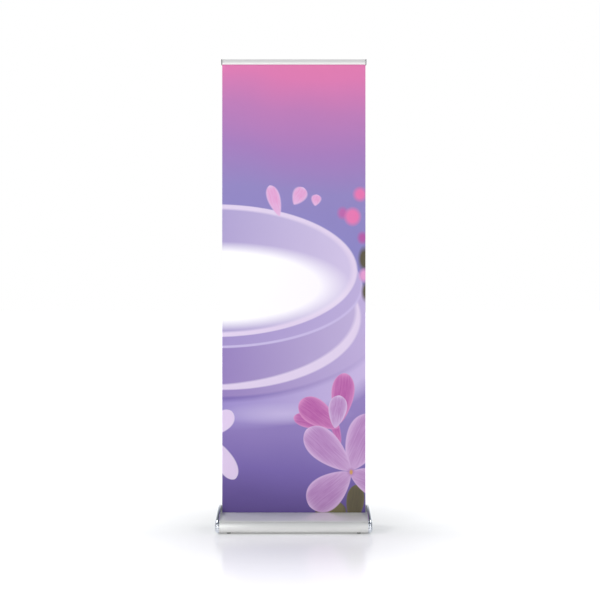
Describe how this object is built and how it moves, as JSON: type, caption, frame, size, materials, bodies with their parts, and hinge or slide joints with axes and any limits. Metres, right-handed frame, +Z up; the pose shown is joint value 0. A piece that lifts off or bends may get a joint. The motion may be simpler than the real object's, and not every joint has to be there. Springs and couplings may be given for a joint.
{
  "type": "roll-up banner stand",
  "caption": "Retractable banner stand: wide spring-roller base, telescopic rear pole and snap rail holding up a tall printed sheet.",
  "frame": {"origin": "centre of the whole object's footprint, on the surface that the feet stand on", "axes": "+Z up along the pole, X along the base, printed face looks towards -Y"},
  "size_m": [0.66, 0.21, 2],
  "materials": {
    "profile_aluminium": "satin anodised, drawn along its length",
    "cap_chrome": "bright plated plastic",
    "plate_steel": "zinc plated",
    "screw_steel": "zinc plated",
    "spring_steel": "oiled",
    "brass_insert": "turned",
    "black_plastic": "fine moulded texture",
    "rail_cap_plastic": "moulded, grey",
    "plug_plastic": "natural nylon",
    "soft_black": "soft, matt",
    "tube_aluminium": "drawn tube, satin",
    "printed_film": "satin laminated print"
  },
  "bodies": {
    "base": {"base_profile": "profile_aluminium", "front_cover": "profile_aluminium", "slot_trim": "soft_black", "end_cap_left": "cap_chrome", "end_cap_right": "cap_chrome", "bearing_plate_left": "plate_steel", "bearing_plate_right": "plate_steel", "cap_screws": "screw_steel", "plate_screws": "screw_steel", "pole_socket": "black_plastic", "socket_screws": "screw_steel", "pole_bush": "black_plastic", "spring_shaft": "screw_steel", "torsion_spring": "spring_steel", "idler_pin": "screw_steel", "foot_inserts": "brass_insert", "pole_foot_plug": "black_plastic", "pole_tube_1": "tube_aluminium"},
    "roller": {"roller_tube": "tube_aluminium", "spring_end_plug": "plug_plastic", "idler_end_plug": "plug_plastic", "wound_sheet": "printed_film"},
    "collar_1": {"twist_collar_1": "black_plastic"},
    "stage_2": {"pole_tube_2": "tube_aluminium", "guide_plug_2": "black_plastic"},
    "collar_2": {"twist_collar_2": "black_plastic"},
    "stage_3": {"pole_tube_3": "tube_aluminium", "guide_plug_3": "black_plastic"},
    "collar_3": {"twist_collar_3": "black_plastic"},
    "stage_4": {"pole_tube_4": "tube_aluminium", "guide_plug_4": "black_plastic", "pole_hook": "black_plastic"},
    "rail": {"rail_rear": "profile_aluminium", "rail_cap_left": "rail_cap_plastic", "rail_cap_right": "rail_cap_plastic", "graphic_sheet": "printed_film"},
    "jaw": {"rail_front_jaw": "profile_aluminium", "grip_strip": "soft_black"},
    "foot_front_left": {"foot_stud_front_left": "screw_steel", "foot_pad_front_left": "soft_black"},
    "foot_front_right": {"foot_stud_front_right": "screw_steel", "foot_pad_front_right": "soft_black"},
    "foot_rear_left": {"foot_stud_rear_left": "screw_steel", "foot_pad_rear_left": "soft_black"},
    "foot_rear_right": {"foot_stud_rear_right": "screw_steel", "foot_pad_rear_right": "soft_black"}
  },
  "joints": [
    {"name": "pole_slide_2", "type": "slide", "parent": "base", "child": "stage_2", "axis": [0, 0, 1], "range_m": [-0.437, 0], "deforming": ["graphic_sheet"]},
    {"name": "pole_slide_3", "type": "slide", "parent": "stage_2", "child": "stage_3", "axis": [0, 0, 1], "range_m": [-0.437, 0]},
    {"name": "pole_slide_4", "type": "slide", "parent": "stage_3", "child": "stage_4", "axis": [0, 0, 1], "range_m": [-0.437, 0]},
    {"name": "roller_turn", "type": "hinge", "parent": "base", "child": "roller", "pos_m": [0, -0.0095, 0.038], "axis": [1, 0, 0], "range_deg": [-3960, 0]},
    {"name": "collar_turn_1", "type": "hinge", "parent": "base", "child": "collar_1", "pos_m": [0, 0.046, 0.556], "axis": [0, 0, 1], "range_deg": [-90, 0]},
    {"name": "collar_turn_2", "type": "hinge", "parent": "stage_2", "child": "collar_2", "pos_m": [0, 0.046, 1.026], "axis": [0, 0, 1], "range_deg": [-90, 0]},
    {"name": "collar_turn_3", "type": "hinge", "parent": "stage_3", "child": "collar_3", "pos_m": [0, 0.046, 1.495], "axis": [0, 0, 1], "range_deg": [-90, 0]},
    {"name": "rail_unhook", "type": "slide", "parent": "stage_4", "child": "rail", "axis": [0, 0, 1], "range_m": [0, 0.012]},
    {"name": "jaw_hinge", "type": "hinge", "parent": "rail", "child": "jaw", "pos_m": [0, 0.009, 1.993], "axis": [-1, 0, 0], "range_deg": [0, 40]},
    {"name": "foot_screw_front_left", "type": "slide", "parent": "base", "child": "foot_front_left", "axis": [0, 0, -1], "range_m": [0, 0.008]},
    {"name": "foot_screw_front_right", "type": "slide", "parent": "base", "child": "foot_front_right", "axis": [0, 0, -1], "range_m": [0, 0.008]},
    {"name": "foot_screw_rear_left", "type": "slide", "parent": "base", "child": "foot_rear_left", "axis": [0, 0, -1], "range_m": [0, 0.008]},
    {"name": "foot_screw_rear_right", "type": "slide", "parent": "base", "child": "foot_rear_right", "axis": [0, 0, -1], "range_m": [0, 0.008]}
  ],
  "couplings": [
    {"joint": "pole_slide_3", "follows": "pole_slide_2", "ratio": 1},
    {"joint": "pole_slide_4", "follows": "pole_slide_2", "ratio": 1},
    {"joint": "roller_turn", "follows": "pole_slide_2", "rad_per_m": 157.9}
  ]
}
